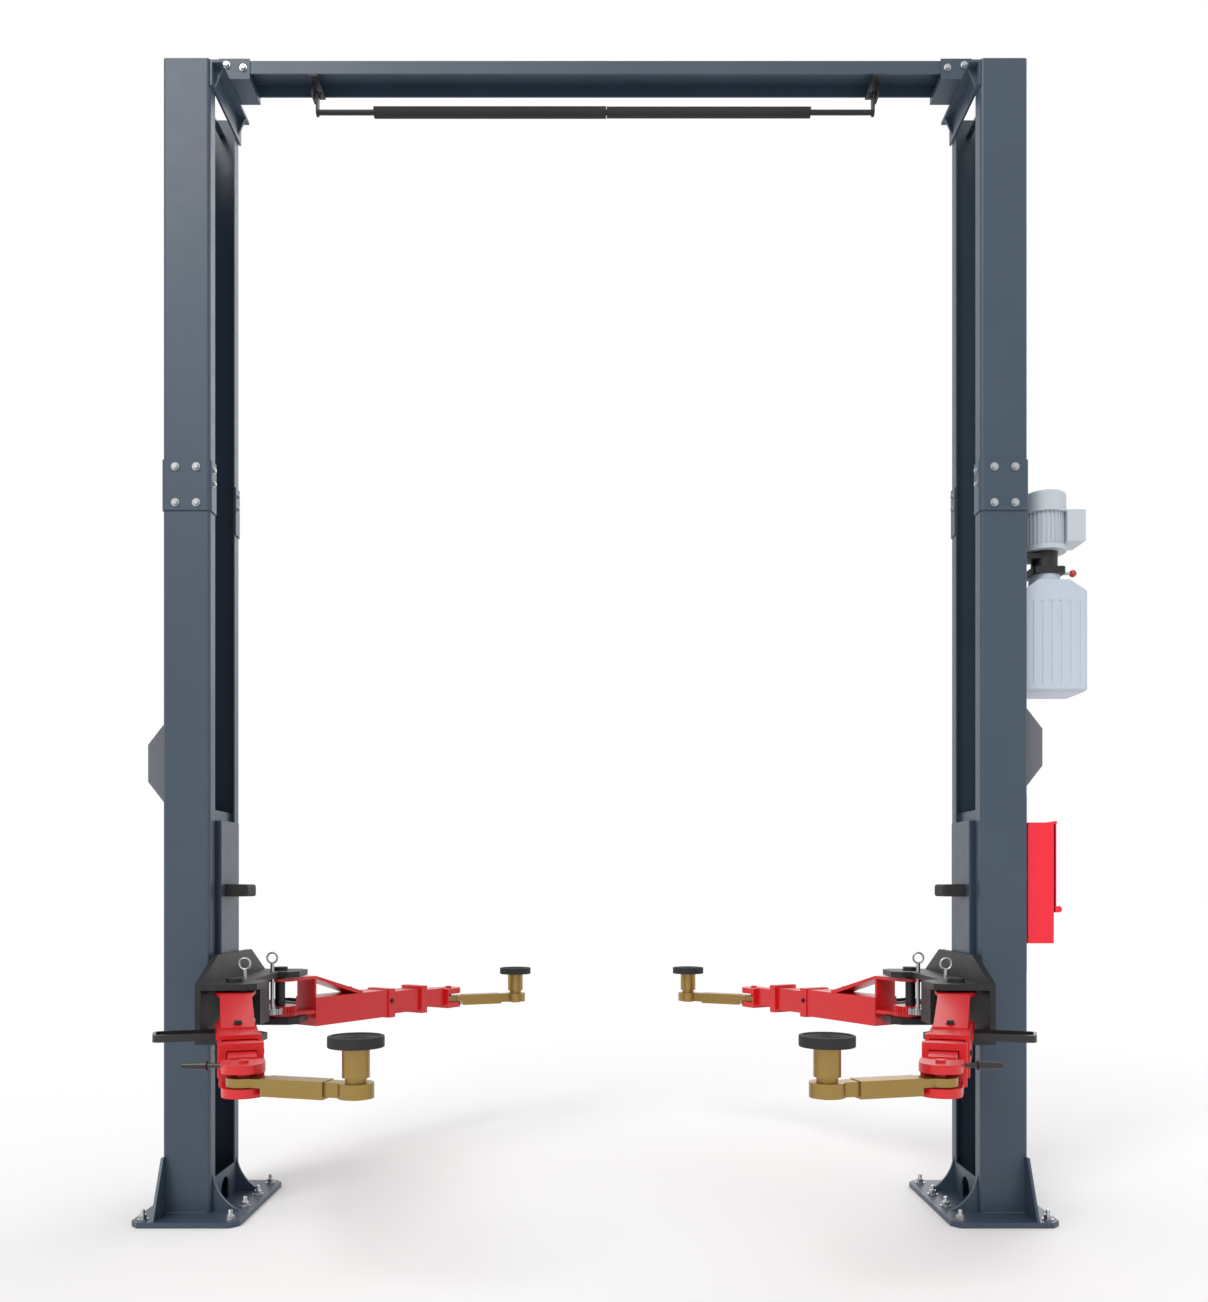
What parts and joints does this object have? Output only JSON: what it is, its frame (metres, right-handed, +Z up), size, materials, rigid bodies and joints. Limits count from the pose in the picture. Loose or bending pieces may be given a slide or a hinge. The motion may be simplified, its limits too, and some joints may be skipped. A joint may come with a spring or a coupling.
{
  "type": "two post car lift",
  "caption": "Clear-floor two post car lift with four telescoping red arms, an overhead crossbeam and a side power unit.",
  "frame": {"origin": "on the floor, midway between the two posts", "axes": "+X across the bay towards the power unit post, +Y along the car, +Z up"},
  "size_m": [3.481, 2.7402, 4.286],
  "materials": {
    "post_paint": "satin",
    "arm_red": "satin",
    "black_paint": "satin",
    "grey_paint": "satin",
    "cabinet_red": "satin",
    "zinc_gold": "satin",
    "bare_steel": "satin",
    "rubber": "satin",
    "foam": "satin",
    "tank_plastic": "satin"
  },
  "bodies": {
    "root": {"base_plate_left": "post_paint", "post_lower_left": "post_paint", "post_upper_left": "post_paint", "splice_sleeve_left": "post_paint", "beam_bracket_left": "post_paint", "bar_hanger_left": "bare_steel", "lock_cover_left": "grey_paint", "lift_cable_left": "bare_steel", "foot_pulley_left": "bare_steel", "base_plate_right": "post_paint", "post_lower_right": "post_paint", "post_upper_right": "post_paint", "splice_sleeve_right": "post_paint", "beam_bracket_right": "post_paint", "bar_hanger_right": "bare_steel", "lock_cover_right": "grey_paint", "lift_cable_right": "bare_steel", "foot_pulley_right": "bare_steel", "crossbeam": "post_paint", "motor": "grey_paint", "pump_block": "black_paint", "oil_tank": "tank_plastic", "cabinet_rail": "black_paint", "cabinet": "cabinet_red"},
    "limit_bar": {"limit_bar": "bare_steel", "bar_foam": "foam"},
    "cabinet_lid": {"cabinet_lid": "cabinet_red"},
    "carriage_left": {"carriage_left": "post_paint", "door_bumper_left": "rubber", "arm_head_left": "black_paint", "arm_locks_left": "bare_steel"},
    "carriage_right": {"carriage_right": "post_paint", "door_bumper_right": "rubber", "arm_head_right": "black_paint", "arm_locks_right": "bare_steel"},
    "outer_front_left": {"arm_outer_front_left": "arm_red"},
    "middle_front_left": {"arm_middle_front_left": "arm_red"},
    "inner_front_left": {"arm_inner_front_left": "arm_red"},
    "link_front_left": {"arm_link_front_left": "zinc_gold"},
    "pad_front_left": {"pad_screw_front_left": "zinc_gold", "lift_pad_front_left": "rubber"},
    "outer_front_right": {"arm_outer_front_right": "arm_red"},
    "middle_front_right": {"arm_middle_front_right": "arm_red"},
    "inner_front_right": {"arm_inner_front_right": "arm_red"},
    "link_front_right": {"arm_link_front_right": "zinc_gold"},
    "pad_front_right": {"pad_screw_front_right": "zinc_gold", "lift_pad_front_right": "rubber"},
    "outer_rear_left": {"arm_outer_rear_left": "arm_red"},
    "middle_rear_left": {"arm_middle_rear_left": "arm_red"},
    "inner_rear_left": {"arm_inner_rear_left": "arm_red"},
    "link_rear_left": {"arm_link_rear_left": "zinc_gold"},
    "pad_rear_left": {"pad_screw_rear_left": "zinc_gold", "lift_pad_rear_left": "rubber"},
    "outer_rear_right": {"arm_outer_rear_right": "arm_red"},
    "middle_rear_right": {"arm_middle_rear_right": "arm_red"},
    "inner_rear_right": {"arm_inner_rear_right": "arm_red"},
    "link_rear_right": {"arm_link_rear_right": "zinc_gold"},
    "pad_rear_right": {"pad_screw_rear_right": "zinc_gold", "lift_pad_rear_right": "rubber"}
  },
  "joints": [
    {"name": "lift_left", "type": "slide", "parent": "root", "child": "carriage_left", "axis": [0, 0, 1], "range_m": [-0.56, 1.1]},
    {"name": "lift_right", "type": "slide", "parent": "root", "child": "carriage_right", "axis": [0, 0, 1], "range_m": [-0.56, 1.1]},
    {"name": "bar_swing", "type": "hinge", "parent": "root", "child": "limit_bar", "pos_m": [0, 0, 4.196], "axis": [1, 0, 0], "range_deg": [-15, 15]},
    {"name": "lid_hinge", "type": "hinge", "parent": "root", "child": "cabinet_lid", "pos_m": [1.6863, 0, 1.44], "axis": [0, -1, 0], "range_deg": [0, 100]},
    {"name": "swing_front_left", "type": "hinge", "parent": "carriage_left", "child": "outer_front_left", "pos_m": [-1.272, -0.287, 0.7], "axis": [0, 0, -1], "range_deg": [-66, 24]},
    {"name": "reach_middle_front_left", "type": "slide", "parent": "outer_front_left", "child": "middle_front_left", "axis": [0.3256, -0.9455, 0], "range_m": [-0.124, 0.169]},
    {"name": "reach_inner_front_left", "type": "slide", "parent": "middle_front_left", "child": "inner_front_left", "axis": [0.3256, -0.9455, 0], "range_m": [-0.109, 0.131]},
    {"name": "link_front_left", "type": "hinge", "parent": "inner_front_left", "child": "link_front_left", "pos_m": [-0.96043, -1.19186, 0.67], "axis": [0, 0, 1], "range_deg": [-55, 35]},
    {"name": "pad_front_left", "type": "slide", "parent": "link_front_left", "child": "pad_front_left", "axis": [0, 0, 1], "range_m": [0, 0.03]},
    {"name": "swing_front_right", "type": "hinge", "parent": "carriage_right", "child": "outer_front_right", "pos_m": [1.272, -0.287, 0.7], "axis": [0, 0, 1], "range_deg": [-65, 25]},
    {"name": "reach_middle_front_right", "type": "slide", "parent": "outer_front_right", "child": "middle_front_right", "axis": [-0.342, -0.9397, 0], "range_m": [-0.124, 0.169]},
    {"name": "reach_inner_front_right", "type": "slide", "parent": "middle_front_right", "child": "inner_front_right", "axis": [-0.342, -0.9397, 0], "range_m": [-0.109, 0.131]},
    {"name": "link_front_right", "type": "hinge", "parent": "inner_front_right", "child": "link_front_right", "pos_m": [0.94469, -1.18629, 0.67], "axis": [0, 0, -1], "range_deg": [-55, 35]},
    {"name": "pad_front_right", "type": "slide", "parent": "link_front_right", "child": "pad_front_right", "axis": [0, 0, 1], "range_m": [0, 0.03]},
    {"name": "swing_rear_left", "type": "hinge", "parent": "carriage_left", "child": "outer_rear_left", "pos_m": [-1.272, 0.287, 0.7], "axis": [0, 0, 1], "range_deg": [-51.5, 38.5]},
    {"name": "reach_middle_rear_left", "type": "slide", "parent": "outer_rear_left", "child": "middle_rear_left", "axis": [0.5519, 0.8339, 0], "range_m": [-0.163, 0.13]},
    {"name": "reach_inner_rear_left", "type": "slide", "parent": "middle_rear_left", "child": "inner_rear_left", "axis": [0.5519, 0.8339, 0], "range_m": [-0.141, 0.099]},
    {"name": "link_rear_left", "type": "hinge", "parent": "inner_rear_left", "child": "link_rear_left", "pos_m": [-0.70461, 1.14423, 0.67], "axis": [0, 0, -1], "range_deg": [-33, 57]},
    {"name": "pad_rear_left", "type": "slide", "parent": "link_rear_left", "child": "pad_rear_left", "axis": [0, 0, 1], "range_m": [0, 0.03]},
    {"name": "swing_rear_right", "type": "hinge", "parent": "carriage_right", "child": "outer_rear_right", "pos_m": [1.272, 0.287, 0.7], "axis": [0, 0, -1], "range_deg": [-54.5, 35.5]},
    {"name": "reach_middle_rear_right", "type": "slide", "parent": "outer_rear_right", "child": "middle_rear_right", "axis": [-0.5075, 0.8616, 0], "range_m": [-0.163, 0.13]},
    {"name": "reach_inner_rear_right", "type": "slide", "parent": "middle_rear_right", "child": "inner_rear_right", "axis": [-0.5075, 0.8616, 0], "range_m": [-0.118, 0.122]},
    {"name": "link_rear_right", "type": "hinge", "parent": "inner_rear_right", "child": "link_rear_right", "pos_m": [0.76192, 1.15294, 0.67], "axis": [0, 0, 1], "range_deg": [-33, 57]},
    {"name": "pad_rear_right", "type": "slide", "parent": "link_rear_right", "child": "pad_rear_right", "axis": [0, 0, 1], "range_m": [0, 0.03]}
  ],
  "couplings": [
    {"joint": "lift_right", "follows": "lift_left", "ratio": 1}
  ]
}
